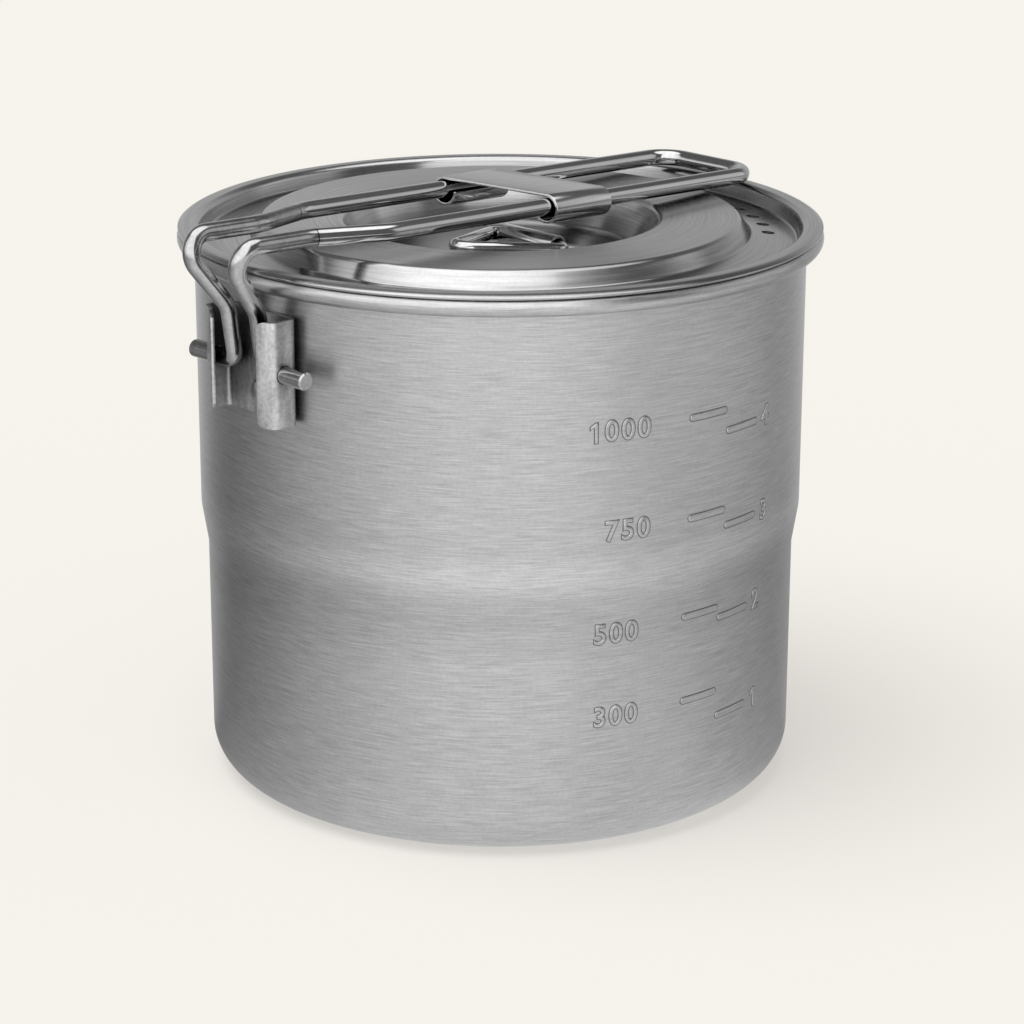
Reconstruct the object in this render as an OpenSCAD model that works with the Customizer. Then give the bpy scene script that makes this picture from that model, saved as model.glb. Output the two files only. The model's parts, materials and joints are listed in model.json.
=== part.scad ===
// Camping cooking pot with a sunken lid, a lifting ring and a fold-over wire handle.
// Millimetres, +Z up. The origin is the centre of the flat base, the handle bracket faces -X.

/* [Pot] */
// Outer radius of the upper part of the pot
pot_radius = 62; // [58:0.5:75]
// Outer radius of the lower part, below the step
lower_radius = 60.7; // [56:0.1:61]
// Height of the centre of the rolled rim
rim_height = 112; // [104:0.2:130]
// Height at which the wall starts to step out
step_bottom = 48.3; // [30:0.1:60]
// Height over which the wall steps out
step_height = 8.4; // [5:0.1:14]
// Sheet thickness of the pot
pot_sheet = 0.6; // [0.4:0.1:0.8]
// Outer radius of the corner round the base
base_corner = 8; // [4:0.5:12]
// Half the height of the rolled rim's section
bead_radius = 1.8; // [1.6:0.1:2.4]
// How much wider than high the rolled rim's section is
bead_flat = 0.4; // [0:0.1:0.8]

/* [Lid] */
// Sheet thickness of the lid
lid_sheet = 0.6; // [0.4:0.1:0.8]
// Gap between the lid and what it rests on
lid_seat_gap = 0.3; // [0.2:0.05:0.6]
// Gap between the lid's wall and the inside of the pot
lid_side_gap = 0.7; // [0.4:0.1:1.2]
// How far the lid's edge bends down over the rolled rim, in degrees
rim_curl = 34; // [25:1:45]
// Depth of the channel's outer side below the lid's rim
channel_depth = 3.6; // [2.5:0.1:5]
// Width of the channel floor between the rim wall and the plateau
channel_width = 9.8; // [7:0.1:13]
// How much higher the channel's floor is at the plateau
channel_rise = 0.9; // [0:0.1:1.2]
// Height of the plateau's top above the rim's top
plateau_rise = 0.7; // [0.2:0.05:0.8]
// Radius of the recess in the middle, at its upper edge
recess_radius = 32.3; // [29:0.1:36]
// Depth of the recess below the plateau
recess_depth = 8.7; // [8:0.1:9]
// How far the recess wall leans in towards its floor
recess_lean = 3.7; // [2:0.1:5]
// Number of steam holes in the channel
vent_count = 7; // [3:1:12]
// Diameter of a steam hole
vent_d = 2.8; // [1.5:0.1:4]
// Angle between neighbouring steam holes, in degrees
vent_pitch = 7.9; // [5:0.1:12]
// Direction of the middle of the row of holes, in degrees from +X
vent_direction = -19.4; // [-90:0.1:90]

/* [Lid ring] */
// Diameter of the ring's wire
ring_wire_d = 2.8; // [2.2:0.1:3]
// Distance from the ring's hinge line to the pointed end of its wire's corner
ring_length = 23.7; // [20:0.1:26]
// Distance between the corners of the ring's wire at the hinge line
ring_width = 22.6; // [20:0.2:25]
// Distance of the hinge line from the pot's axis
ring_hinge_x = 8.7; // [6:0.1:10]
// Angle at which the ring lies, in degrees above level
ring_tilt = 5.5; // [4:0.5:10]
// Gap round the ring's wire inside the saddle
saddle_gap = 0.35; // [0.2:0.05:0.5]
// Length of the saddle along the hinge line
saddle_length = 15.4; // [10:0.2:16]
// Length of each flat foot of the saddle
saddle_foot = 5.5; // [3:0.1:7]
// Sheet thickness of the saddle
saddle_sheet = 0.6; // [0.4:0.1:0.8]

/* [Handle bracket] */
// Distance of the hinge pins below the centre of the rolled rim
pin_drop = 16.1; // [15:0.1:24]
// Distance of the hinge pins from the pot's wall
pin_offset = 3.4; // [3.2:0.1:4.5]
// Height of the bracket
bracket_height = 20.8; // [18:0.2:24]
// Distance between the outer faces of the bracket's side walls
bracket_width = 21; // [20:0.2:26]
// Depth of the side walls, from the pot to the lips
bracket_depth = 5.8; // [5.5:0.1:7]
// How far the lips lean out towards their free edges
lip_flare = 1.5; // [1.2:0.1:3]
// Sheet thickness of the bracket
bracket_sheet = 0.8; // [0.6:0.1:1]
// Gap between the bracket and the pot where they come closest
bracket_seat = 0.05; // [0.02:0.01:0.1]
// Gap between the legs and the middle of the lips' free edges
lip_gap = 0.5; // [0.45:0.05:0.7]
// Radius of the lips' rounded corners
lip_corner = 1.8; // [1:0.1:2.5]
// Diameter of a rivet's heads
rivet_head_d = 5; // [4:0.1:5.2]
// Height of a rivet's head
rivet_head_h = 1.1; // [0.6:0.1:1.4]
// Diameter of a rivet's shank
rivet_shank_d = 3; // [2:0.1:3.5]
// Distance between the two rivets
rivet_spacing = 12; // [10:0.1:13]

/* [Handle] */
// Diameter of the handle's wire
wire_d = 3.5; // [3:0.1:3.8]
// Radial clearance of the pins in the bracket
pin_clearance = 0.1; // [0.05:0.01:0.1]
// Distance between the tips of the two pins
pin_span = 34; // [30:0.2:40]
// Distance between the legs' centre lines in the bracket
leg_spacing = 9; // [8.8:0.1:9.4]
// Distance between the legs at the knee
knee_spacing = 15.6; // [13:0.2:18]
// Distance between the arms along the grip
grip_spacing = 25.8; // [22:0.2:32]
// How far the legs stand out where they leave the bracket, from the pins
leg_lean = 1.4; // [0:0.1:2]
// Height above the pins at which the legs start to lean out
leg_straight = 11; // [11:0.2:12.5]
// How far the knee's corner stands out from the pins
knee_reach = 11.7; // [10:0.1:13]
// Gap between the end of the grip and the lid's rim
grip_rest_gap = 0.6; // [0.5:0.05:1]
// How much higher the knee is than the end of the grip
grip_rise = 4.2; // [3:0.05:5]
// Distance from the knee's corner to where the arms start to spread
spread_start = 20.9; // [18:0.1:26]
// Length over which the arms spread
spread_length = 15; // [14:0.2:22]
// How far the grip's end stays inside the lid's edge
grip_inset = 4; // [2:0.1:8]
// Distance from the knee's corner to the weld of the leg on the -Y side
right_weld = 21.7; // [18:0.1:32]
// Distance from the knee's corner to the weld of the leg on the +Y side
left_weld = 33; // [18:0.1:36]

/* [Clip] */
// Length of the sliding clip along the arms
clip_length = 15.2; // [12:0.2:24]
// Sheet thickness of the clip
clip_sheet = 0.6; // [0.4:0.1:0.7]
// Gap between the clip and the arms
clip_gap = 0.65; // [0.5:0.05:0.7]
// How far the clip's rolled edges sit below the arms' centre lines
clip_drop = 0.4; // [0.2:0.05:0.45]
// How far the clip's ends are off square, in degrees
clip_skew = 9; // [0:0.5:15]
// Distance of the clip's middle from the pot's axis
clip_x = 5.8; // [0:0.2:10]

/* [Hidden] */
$fn = 96;
arc_step = 10;
steel = "#b9babb";
bright_steel = "#c9cacb";
over = 1;

// Bends of the pot's and the lid's sheet, at the middle of the sheet
step_bend = 8;
lid_rim_bend = 1.2;
channel_bend = 1;
plateau_bend = 1.2;
plateau_foot_bend = 1;
plateau_lean = 2.4;
recess_edge_bend = 1.4;
recess_foot_bend = 2.6;
rim_wall_lean = 0.9;
// Straight at the end of the lid's bent edge
rim_edge = 0.1;
// Bends of the bracket's and the saddle's sheet
bracket_bend = 1.2;
saddle_foot_bend = 0.6;
// Bends of the wires, at their centre lines
pin_bend = 2.4;
leg_bend = 6;
knee_bend = 4;
spread_bend = 12;
grip_bend = 6;
ring_hinge_bend = 2;
ring_point_bend = 2.6;
// A bend's section is thinner than its wire by this much, and runs on into the straights
bend_step = 0.04;
bend_run_on = 2;
// Share of a full half circle that leaves short straights between neighbouring bends
curl_share = 0.97;

// Pot
pot_mid = pot_radius - pot_sheet / 2;
lower_mid = lower_radius - pot_sheet / 2;
pot_inside = pot_radius - pot_sheet;
curl_mid = bead_radius - pot_sheet / 2;
bead_side = pot_mid + curl_mid + bead_flat;
bead_top = rim_height + bead_radius;
// Lid
rim_over = bead_radius + lid_seat_gap + lid_sheet / 2;
rim_edge_mid = [
  bead_side + rim_over * sin(rim_curl) + rim_edge * cos(rim_curl),
  rim_height + rim_over * cos(rim_curl) - rim_edge * sin(rim_curl)
];
lid_edge = rim_edge_mid[0] + lid_sheet / 2 * sin(rim_curl);
lid_rim_mid = bead_top + lid_seat_gap + lid_sheet / 2;
lid_rim_top = lid_rim_mid + lid_sheet / 2;
rim_wall_foot = pot_inside - lid_side_gap - lid_sheet / 2;
rim_wall_top = rim_wall_foot + rim_wall_lean;
channel_mid = lid_rim_mid - channel_depth;
plateau_mid = lid_rim_mid + plateau_rise;
plateau_foot_mid = channel_mid + channel_rise;
plateau_foot = rim_wall_foot - channel_width;
plateau_edge = plateau_foot - plateau_lean;
recess_mid = plateau_mid - recess_depth;
recess_floor = recess_mid + lid_sheet / 2;
vent_radius = (rim_wall_foot + plateau_foot) / 2 - 2 * lid_sheet;
// Lid ring and saddle
saddle_mid = ring_wire_d / 2 + saddle_gap + saddle_sheet / 2;
ring_z = recess_floor + ring_wire_d / 2 + saddle_gap;
saddle_mid_z = recess_floor + saddle_sheet / 2;
// Bracket
pin_x = pot_radius + pin_offset;
pin_height = rim_height - pin_drop;
bracket_back = pot_radius + bracket_seat;
bracket_base_mid = bracket_back + bracket_sheet / 2;
bracket_base_face = bracket_back + bracket_sheet;
bracket_wall_mid = bracket_width / 2 - bracket_sheet / 2;
bracket_lip_mid = bracket_back + bracket_depth - bracket_sheet / 2;
lip_edge = leg_spacing / 2 + wire_d / 2 + lip_gap;
bore_d = wire_d + 2 * pin_clearance;
rivet_hole_d = rivet_shank_d + 2 * bracket_seat;
rivet_inner_face = sqrt(pow(pot_inside, 2) - pow(rivet_head_d / 2, 2)) - bracket_seat;
rivet_heights = [for (side = [-1, 1]) pin_height + side * rivet_spacing / 2];
// Handle
grip_end_x = lid_edge - grip_inset;
grip_end_z = lid_rim_top + grip_rest_gap + wire_d / 2;
knee_x = -(pin_x + knee_reach);
grip_slope = grip_rise / (grip_end_x - knee_x);
grip_angle = atan(grip_slope);
spread_x = knee_x + spread_start;
spread_end_x = spread_x + spread_length;
// A block larger than the handle, to cut it at its welds
cut_size = 2 * (pot_radius + rim_height);
// Clip
clip_curl = wire_d / 2 + clip_gap + clip_sheet / 2;

function unit(v) = v / norm(v);
function grip_z(x) = grip_end_z + (grip_end_x - x) * grip_slope;
function left_of(v) = [-v[1], v[0]];
function turned(v, a) = [v[0] * cos(a) - v[1] * sin(a), v[0] * sin(a) + v[1] * cos(a)];
function turn_between(a, b) = atan2(a[0] * b[1] - a[1] * b[0], a * b);

// One side of a bent sheet: path is its middle, bends the radius at each inner corner
function sheet_side(path, bends, h) = let (last = len(path) - 1) [
  path[0] + h * left_of(unit(path[1] - path[0])),
  for (i = [1 : last - 1])
    let (
      d1 = unit(path[i] - path[i - 1]),
      d2 = unit(path[i + 1] - path[i]),
      turn = turn_between(d1, d2),
      way = sign(turn),
      r = bends[i - 1],
      start = path[i] - d1 * r * tan(abs(turn) / 2),
      centre = start + way * r * left_of(d1),
      steps = max(2, ceil(abs(turn) / arc_step))
    )
    for (k = [0 : steps])
      centre - (way * r - h) * turned(left_of(d1), turn * k / steps),
  path[last] + h * left_of(unit(path[last] - path[last - 1]))
];

function reversed(list) = [for (i = [len(list) - 1 : -1 : 0]) list[i]];

// Section of a sheet of even thickness, bent along a path
module bent_sheet(path, bends, sheet) {
  polygon(concat(sheet_side(path, bends, sheet / 2), reversed(sheet_side(path, bends, -sheet / 2))));
}

// Places the X and Z axes of what follows along two square directions at a point
module placed(point, x_axis, z_axis) {
  y_axis = cross(z_axis, x_axis);
  multmatrix([
    [x_axis[0], y_axis[0], z_axis[0], point[0]],
    [x_axis[1], y_axis[1], z_axis[1], point[1]],
    [x_axis[2], y_axis[2], z_axis[2], point[2]],
    [0, 0, 0, 1]
  ])
    children();
}

function any_square(v) = unit(cross(v, abs(v[2]) < 0.9 ? [0, 0, 1] : [1, 0, 0]));
function corner_turn(a, b, c) = acos(unit(b - a) * unit(c - b));
function corner_tangent(path, bends, i) =
  i <= 0 || i >= len(path) - 1 ? 0 :
  bends[i - 1] * tan(corner_turn(path[i - 1], path[i], path[i + 1]) / 2);

// Straight stretch of round wire
module rod(a, b, d) {
  placed(a, any_square(unit(b - a)), unit(b - a))
    cylinder(d = d, h = norm(b - a));
}

// Round wire along a path, with a bend radius at each inner corner
module bent_wire(path, bends, d) {
  for (i = [0 : len(path) - 2]) {
    along = unit(path[i + 1] - path[i]);
    rod(
      path[i] + along * corner_tangent(path, bends, i),
      path[i + 1] - along * corner_tangent(path, bends, i + 1),
      d
    );
  }
  for (i = [1 : len(path) - 2]) {
    d1 = unit(path[i] - path[i - 1]);
    d2 = unit(path[i + 1] - path[i]);
    start = path[i] - d1 * corner_tangent(path, bends, i);
    inward = unit(d2 - d1 * (d1 * d2));
    placed(start + inward * bends[i - 1], -inward, cross(-inward, d1))
      rotate([0, 0, -bend_run_on])
        rotate_extrude(angle = corner_turn(path[i - 1], path[i], path[i + 1]) + 2 * bend_run_on)
          translate([bends[i - 1], 0])
            circle(d = d - bend_step);
  }
}

module pot() {
  path = [
    [0, pot_sheet / 2],
    [lower_mid, pot_sheet / 2],
    [lower_mid, step_bottom],
    [pot_mid, step_bottom + step_height],
    [pot_mid, rim_height + curl_mid],
    [bead_side + curl_mid, rim_height + curl_mid],
    [bead_side + curl_mid, rim_height - curl_mid],
    [bead_side, rim_height - curl_mid]
  ];
  curl = curl_mid * curl_share;
  bends = [base_corner - pot_sheet / 2, step_bend, step_bend, curl, curl, curl];
  color(steel)
    difference() {
      rotate_extrude()
        bent_sheet(path, bends, pot_sheet);
      for (z = rivet_heights)
        translate([-pot_radius - over, 0, z])
          rotate([0, 90, 0])
            cylinder(d = rivet_hole_d, h = pot_sheet + 2 * over);
    }
}

module handle_bracket() {
  half = [
    [lip_edge, bracket_lip_mid + lip_flare],
    [bracket_wall_mid, bracket_lip_mid],
    [bracket_wall_mid, bracket_base_mid]
  ];
  path = concat(half, [for (p = reversed(half)) [-p[0], p[1]]]);
  bends = [for (i = [1 : 4]) bracket_bend];
  color(steel)
    translate([0, 0, pin_height])
      difference() {
        rotate([0, 0, 90])
          linear_extrude(bracket_height, center = true)
            bent_sheet(path, bends, bracket_sheet);
        translate([-pin_x, 0, 0])
          rotate([90, 0, 0])
            cylinder(d = bore_d, h = bracket_width + 2 * over, center = true);
        for (z = rivet_heights)
          translate([-bracket_base_face - over, 0, z - pin_height])
            rotate([0, 90, 0])
              cylinder(d = rivet_hole_d, h = bracket_sheet + 2 * over);
        for (side = [0, 1])
          for (end = [0, 1])
            mirror([0, side, 0])
              mirror([0, 0, end])
                lip_corner_cut();
      }
}

// What is cut away to round the upper free corner of the lip on the +Y side
module lip_corner_cut() {
  reach = lip_flare + bracket_sheet + over;
  span = lip_corner + over;
  translate([-bracket_lip_mid - reach, lip_edge - over, bracket_height / 2 + over])
    rotate([0, 90, 0])
      linear_extrude(reach)
        difference() {
          square(span);
          translate([span, span])
            circle(r = lip_corner);
        }
}

module bracket_rivets() {
  color(bright_steel)
    for (z = rivet_heights)
      translate([0, 0, z])
        rotate([0, -90, 0])
          rivet();
}

// A rivet along +Z, measured from the pot's axis
module rivet() {
  inner_head = rivet_head_h / 2;
  translate([0, 0, rivet_inner_face - inner_head])
    cylinder(d = rivet_head_d, h = inner_head);
  translate([0, 0, rivet_inner_face])
    cylinder(d = rivet_shank_d, h = bracket_base_face - rivet_inner_face);
  translate([0, 0, bracket_base_face])
    cylinder(d = rivet_head_d, h = rivet_head_h);
}

// Centre line of one side of the handle, from the pin's tip to the grip's end
function handle_side(side) = [
  [-pin_x, side * pin_span / 2, pin_height],
  [-pin_x, side * leg_spacing / 2, pin_height],
  [-pin_x - leg_lean, side * leg_spacing / 2, pin_height + leg_straight],
  [knee_x, side * knee_spacing / 2, grip_z(knee_x)],
  [spread_x, side * knee_spacing / 2, grip_z(spread_x)],
  [spread_end_x, side * grip_spacing / 2, grip_z(spread_end_x)],
  [grip_end_x, side * grip_spacing / 2, grip_end_z]
];
handle_bends = [pin_bend, leg_bend, knee_bend, spread_bend, spread_bend, grip_bend];

// Everything on the bracket's side of a weld
module before(weld_x) {
  translate([weld_x - cut_size, -cut_size / 2, 0])
    cube(cut_size);
}

module handle_leg(side, weld) {
  full = handle_side(side);
  path = [for (i = [0 : 5]) full[i]];
  bends = [for (i = [0 : 3]) handle_bends[i]];
  color(steel)
    intersection() {
      bent_wire(path, bends, wire_d);
      before(knee_x + weld);
    }
}

module handle_leg_right() {
  handle_leg(-1, right_weld);
}

module handle_leg_left() {
  handle_leg(1, left_weld);
}

module handle_loop() {
  right = [for (i = [3 : 6]) handle_side(-1)[i]];
  left = [for (i = [3 : 6]) handle_side(1)[i]];
  side_bends = [spread_bend, spread_bend, grip_bend];
  color(bright_steel)
    difference() {
      bent_wire(concat(right, reversed(left)), concat(side_bends, reversed(side_bends)), wire_d);
      intersection() {
        before(knee_x + right_weld);
        mirror([0, 1, 0])
          half_space();
      }
      intersection() {
        before(knee_x + left_weld);
        half_space();
      }
    }
}

// Everything on the +Y side
module half_space() {
  translate([-cut_size / 2, 0, 0])
    cube(cut_size);
}

module slide_clip() {
  arm = grip_spacing / 2;
  half = [
    [arm - clip_curl, 0],
    [arm - clip_curl, -clip_curl],
    [arm + clip_curl, -clip_curl],
    [arm + clip_curl, clip_curl]
  ];
  path = concat(half, [for (p = reversed(half)) [-p[0], p[1]]]);
  bends = [for (i = [1 : 6]) clip_curl * curl_share];
  reach = 2 * (arm + clip_curl + over);
  color(bright_steel)
    translate([clip_x, 0, grip_z(clip_x)])
      rotate([0, grip_angle, 0])
        intersection() {
          rotate([0, 90, 0])
            rotate([0, 0, 90])
              linear_extrude(clip_length + reach, center = true)
                translate([0, -clip_drop])
                  bent_sheet(path, bends, clip_sheet);
          rotate([0, 0, clip_skew])
            cube([clip_length * cos(clip_skew), 2 * reach, reach], center = true);
        }
}

module lid() {
  path = [
    [0, recess_mid],
    [recess_radius - recess_lean, recess_mid],
    [recess_radius, plateau_mid],
    [plateau_edge, plateau_mid],
    [plateau_foot, plateau_foot_mid],
    [rim_wall_foot, channel_mid],
    [rim_wall_top, lid_rim_mid],
    [bead_side + rim_over * tan(rim_curl / 2), lid_rim_mid],
    rim_edge_mid
  ];
  bends = [
    recess_foot_bend, recess_edge_bend, plateau_bend, plateau_foot_bend,
    channel_bend, lid_rim_bend, rim_over
  ];
  color(steel)
    difference() {
      rotate_extrude()
        bent_sheet(path, bends, lid_sheet);
      for (i = [0 : vent_count - 1])
        rotate([0, 0, vent_direction + (i - (vent_count - 1) / 2) * vent_pitch])
          translate([vent_radius, 0, channel_mid])
            cylinder(d = vent_d, h = lid_sheet + 2 * (channel_rise + over), center = true);
    }
}

module ring_saddle() {
  half = [
    [-saddle_mid - saddle_foot, saddle_mid_z],
    [-saddle_mid, saddle_mid_z],
    [-saddle_mid, ring_z + saddle_mid]
  ];
  path = concat(half, [for (p = reversed(half)) [-p[0], p[1]]]);
  crown = saddle_mid * curl_share;
  color(steel)
    translate([ring_hinge_x, 0, 0])
      rotate([90, 0, 0])
        linear_extrude(saddle_length, center = true)
          bent_sheet(path, [saddle_foot_bend, crown, crown, saddle_foot_bend], saddle_sheet);
}

module lid_ring() {
  corner = ring_width / 2;
  path = [[0, 0, 0], [0, corner, 0], [-ring_length, 0, 0], [0, -corner, 0], [0, 0, 0]];
  color(bright_steel)
    translate([ring_hinge_x, 0, ring_z])
      rotate([0, ring_tilt, 0])
        bent_wire(path, [ring_hinge_bend, ring_point_bend, ring_hinge_bend], ring_wire_d);
}

pot();
handle_bracket();
bracket_rivets();
handle_leg_right();
handle_leg_left();
handle_loop();
slide_clip();
lid();
ring_saddle();
lid_ring();
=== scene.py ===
"""Camping cooking pot with a sunken lid, a lifting ring and a fold-over wire handle."""

import json
import math

import bmesh
import bpy
from mathutils import Matrix, Vector


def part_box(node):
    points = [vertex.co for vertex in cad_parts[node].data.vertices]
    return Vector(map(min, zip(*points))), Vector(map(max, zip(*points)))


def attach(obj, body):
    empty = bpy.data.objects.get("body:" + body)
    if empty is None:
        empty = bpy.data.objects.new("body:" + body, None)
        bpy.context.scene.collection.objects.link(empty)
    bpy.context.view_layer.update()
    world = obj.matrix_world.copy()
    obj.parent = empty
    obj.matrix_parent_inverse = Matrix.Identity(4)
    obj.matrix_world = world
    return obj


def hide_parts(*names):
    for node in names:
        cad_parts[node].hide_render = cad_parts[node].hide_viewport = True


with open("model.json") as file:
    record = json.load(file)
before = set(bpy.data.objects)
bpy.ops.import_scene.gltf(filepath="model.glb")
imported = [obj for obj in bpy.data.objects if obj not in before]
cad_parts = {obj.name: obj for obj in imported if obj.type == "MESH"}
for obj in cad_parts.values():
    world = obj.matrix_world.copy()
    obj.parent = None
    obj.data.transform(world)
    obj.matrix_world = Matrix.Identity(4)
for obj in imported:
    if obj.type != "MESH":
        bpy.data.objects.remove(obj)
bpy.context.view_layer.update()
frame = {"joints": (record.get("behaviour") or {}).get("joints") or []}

MM = 0.001
JOINTS = {joint["name"]: joint for joint in frame["joints"]}


def corners_mm(node):
    """Lowest and highest corner of a CAD node, in millimetres."""
    return tuple(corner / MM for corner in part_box(node))


def place_mm(joint):
    """A point on a hinge's axis, in millimetres."""
    return Vector(JOINTS[joint]["pos_m"]) / MM


# Sizes in millimetres and angles in degrees, the same as in the solids: the pot
SHEET = 0.6
POT_RADIUS = 62.0
LOWER_RADIUS = 60.7
STEP_BOTTOM = 48.3
STEP_TOP = 56.7
STEP_BEND = 8.0
BASE_CORNER = 8.0
BEAD_RADIUS = 1.8
BEAD_FLAT = 0.4

# Lid
PLATEAU_RISE = 0.7
CHANNEL_RISE = 0.9
CHANNEL_DEPTH = 3.6
CHANNEL_WIDTH = 9.8
LID_SIDE_GAP = 0.7
LID_BENDS = (2.6, 1.4, 1.2, 1.0, 1.0, 1.2)
RIM_CURL = 34.0
RIM_EDGE = 0.1
RIM_WALL_LEAN = 0.9
PLATEAU_LEAN = 2.4
RECESS_RADIUS = 32.3
RECESS_LEAN = 3.7
RECESS_DEPTH = 8.7
VENT_COUNT = 7
VENT_D = 2.8
VENT_PITCH = 7.9
VENT_DIRECTION = -19.4
VENT_CUT = 4.0

# Ring and saddle
RING_WIRE = 2.8
RING_LENGTH = 23.7
RING_WIDTH = 22.6
RING_TILT = 5.5
RING_BENDS = (2.0, 2.6, 2.0)
SADDLE_GAP = 0.35
SADDLE_LENGTH = 15.4
SADDLE_FOOT = 5.5
SADDLE_BEND = 0.6

# Bracket and rivets
BRACKET_SHEET = 0.8
BRACKET_SEAT = 0.05
BRACKET_DEPTH = 5.8
BRACKET_BEND = 1.2
LIP_FLARE = 1.5
LIP_CORNER = 1.8
LIP_GAP = 0.5
LIP_CUT_OVER = 1.0
PIN_HOLE = 3.7
PIN_HOLE_CUT = 40.0
RIVET_SPACING = 12.0
RIVET_HEAD = 5.0
RIVET_HEAD_H = 1.1
RIVET_EDGE = 0.6
RIVET_EDGE_DROP = 1.25
RIVET_TOP_SHARE = 0.45
RIVET_DOME = 0.02
RIVET_SINK = 0.2

# Handle
WIRE = 3.5
PIN_SPAN = 34.0
PIN_CHAMFER = (0.3, 0.3)
LEG_SPACING = 9.0
KNEE_SPACING = 15.6
GRIP_SPACING = 25.8
LEG_LEAN = 1.4
LEG_STRAIGHT = 11.0
KNEE_REACH = 11.7
GRIP_REST_GAP = 0.6
GRIP_RISE = 4.2
SPREAD_START = 20.9
SPREAD_LENGTH = 15.0
GRIP_INSET = 4.0
RIGHT_WELD = 21.7
LEFT_WELD = 33.0
WELD_GROOVE = (0.1, 0.4)
HANDLE_BENDS = (2.4, 6.0, 4.0, 12.0, 12.0, 6.0)

# Clip
CLIP_LENGTH = 15.2
CLIP_GAP = 0.65
CLIP_DROP = 0.4
CLIP_SKEW = 9.0
CLIP_X = 5.8

# Part of the room for a tight bend that the bend takes up, and how far cut edges are rounded
TIGHT = 0.97
SHEET_EDGE = 0.12
SADDLE_EDGE = 0.1

# How finely curves are made
ARC_STEP = 5.0
LEAST_ARC_STEPS = 3
WIRE_ARC_STEP = 4.0
WIRE_SPACING = 2.0
WIRE_SIDES = 32
RING_ARC_STEP = 6.0
RING_SPACING = 1.5
RING_SIDES = 28
LATHE_SIDES = 320
RIVET_SIDES = 64
RIVET_EDGE_STEPS = 8
PIN_HOLE_SIDES = 64
VENT_SIDES = 40
ROUND_STEPS = 12
SHARP = 32.0
CAP_ANGLES = (30, 60, 90, 120, 150)
CAP_BULGE = 0.5
CUT_CHAMFER = (0.01, 0.01)
ON_AXIS = 1e-6
MERGE_DISTANCE_M = 1e-7

# Places that come from the frame
bead_top = corners_mm("pot")[1].z
rim_height = bead_top - BEAD_RADIUS
lid_edge = corners_mm("lid")[1].x
lid_rim_top = corners_mm("lid")[1].z - PLATEAU_RISE
pin = place_mm("handle_fold")
ring_hinge = place_mm("ring_fold")
bracket_low, bracket_high = corners_mm("handle_bracket")


def unit(v):
    return v / v.length


def arc(centre, radius, start, end, steps):
    """Points on a flat arc between two angles in degrees."""
    angles = [math.radians(start + (end - start) * k / steps) for k in range(steps + 1)]
    return [(centre[0] + radius * math.cos(a), centre[1] + radius * math.sin(a)) for a in angles]


def mirrored(half):
    """A flat path that goes on as its own mirror image."""
    return half + [(-u, v) for u, v in reversed(half)]


def bent_line(path, bends, arc_step, spacing=None):
    """Points along a line that turns at each inner corner of path by a bend of the given radius."""
    points = [path[0]]
    for before, corner, after, radius in zip(path, path[1:], path[2:], bends):
        d1 = unit(corner - before)
        d2 = unit(after - corner)
        turn = d1.angle(d2)
        start = corner - d1 * radius * math.tan(turn / 2)
        inward = unit(d2 - d1 * d1.dot(d2))
        centre = start + inward * radius
        steps = max(LEAST_ARC_STEPS, math.ceil(abs(turn) / math.radians(arc_step)))
        for k in range(steps + 1):
            a = turn * k / steps
            points.append(centre - inward * radius * math.cos(a) + d1 * radius * math.sin(a))
    points.append(path[-1])
    if spacing is None:
        return points
    filled = [points[0]]
    for a, b in zip(points, points[1:]):
        pieces = max(1, round((b - a).length / spacing))
        filled += [a.lerp(b, k / pieces) for k in range(1, pieces + 1)]
    return filled


def sheet_section(path, bends, sheet, round_start=True):
    """Closed outline of a sheet of even thickness that is bent along a flat path and has round edges."""
    line = bent_line([Vector((u, v, 0)) for u, v in path], bends, ARC_STEP)
    half = sheet / 2
    last = len(line) - 1

    def along(i):
        return unit(line[min(i + 1, last)] - line[max(i - 1, 0)])

    def side(i, offset):
        d = along(i)
        return line[i] + Vector((-d.y, d.x, 0)) * offset

    def cap(i, way):
        d = along(i) * way
        n = Vector((-d.y, d.x, 0))
        return [line[i] + (n * math.cos(a) + d * math.sin(a) * CAP_BULGE) * half
                for a in (math.radians(t) for t in CAP_ANGLES)]

    left = [side(i, half) for i in range(len(line))]
    right = [side(i, -half) for i in reversed(range(len(line)))]
    start = cap(0, -1) if round_start else []
    return [(p.x, p.y) for p in left + cap(last, 1) + right + start]


def add_object(name, data):
    """Object with its data, in the scene."""
    item = bpy.data.objects.new(name, data)
    bpy.context.scene.collection.objects.link(item)
    return item


def new_piece(name, verts, faces):
    """Mesh object from points in millimetres."""
    mesh = bpy.data.meshes.new(name)
    mesh.from_pydata([Vector(v) * MM for v in verts], [], faces)
    piece = add_object(name, mesh)
    finish_mesh(piece)
    return piece


def finish_mesh(piece, sharp=SHARP):
    """Turns all faces outwards and shades them smooth, apart from edges sharper than an angle."""
    bm = bmesh.new()
    bm.from_mesh(piece.data)
    bmesh.ops.remove_doubles(bm, verts=bm.verts, dist=MERGE_DISTANCE_M)
    bmesh.ops.recalc_face_normals(bm, faces=bm.faces)
    for face in bm.faces:
        face.smooth = True
    for edge in bm.edges:
        edge.smooth = len(edge.link_faces) == 2 and edge.calc_face_angle() < math.radians(sharp)
    bm.to_mesh(piece.data)
    bm.free()


def made_mesh(item):
    """What an object's modifiers or its text make, as a mesh."""
    return bpy.data.meshes.new_from_object(item.evaluated_get(bpy.context.evaluated_depsgraph_get()))


def apply_modifiers(piece):
    """Keeps what the piece's modifiers make as its own mesh."""
    mesh = made_mesh(piece)
    piece.modifiers.clear()
    piece.data = mesh
    finish_mesh(piece)


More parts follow.
